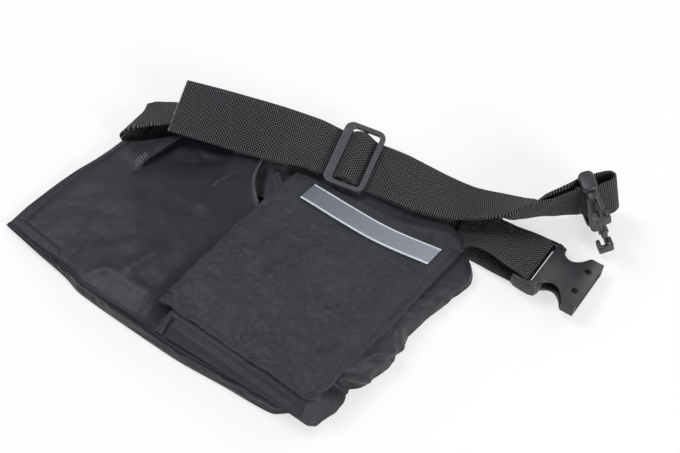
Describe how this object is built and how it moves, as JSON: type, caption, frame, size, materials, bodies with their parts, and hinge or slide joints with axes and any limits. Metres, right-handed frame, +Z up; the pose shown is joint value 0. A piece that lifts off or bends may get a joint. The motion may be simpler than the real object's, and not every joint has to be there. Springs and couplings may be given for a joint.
{
  "type": "hip pack",
  "caption": "Flat nylon hip pack with a wide pocket, a gusseted flap pocket with a bare label, and an unclipped webbing belt with slider and side-release buckle halves.",
  "frame": {"origin": "underside of the back panel, under the middle of the pack, on the surface it lies on", "axes": "+X along the lower edge of the flap towards the buckles, +Y towards the belt, +Z up, away from the back panel"},
  "size_m": [0.3336, 0.2588, 0.0478],
  "materials": {
    "nylon": "black coated nylon, satin",
    "flap_nylon": "black crinkled nylon, matte",
    "webbing": "woven black webbing, matte",
    "label": "woven silver-grey label, bare",
    "buckle_plastic": "black moulded plastic, satin"
  },
  "bodies": {
    "root": {"back_panel": "nylon", "main_pocket": "nylon", "top_band": "nylon", "front_pocket": "nylon", "flap": "flap_nylon", "label": "label", "waist_strap": "webbing", "buckle_strap": "webbing", "slider": "buckle_plastic", "buckle_male": "buckle_plastic", "buckle_female": "buckle_plastic"}
  },
  "joints": []
}
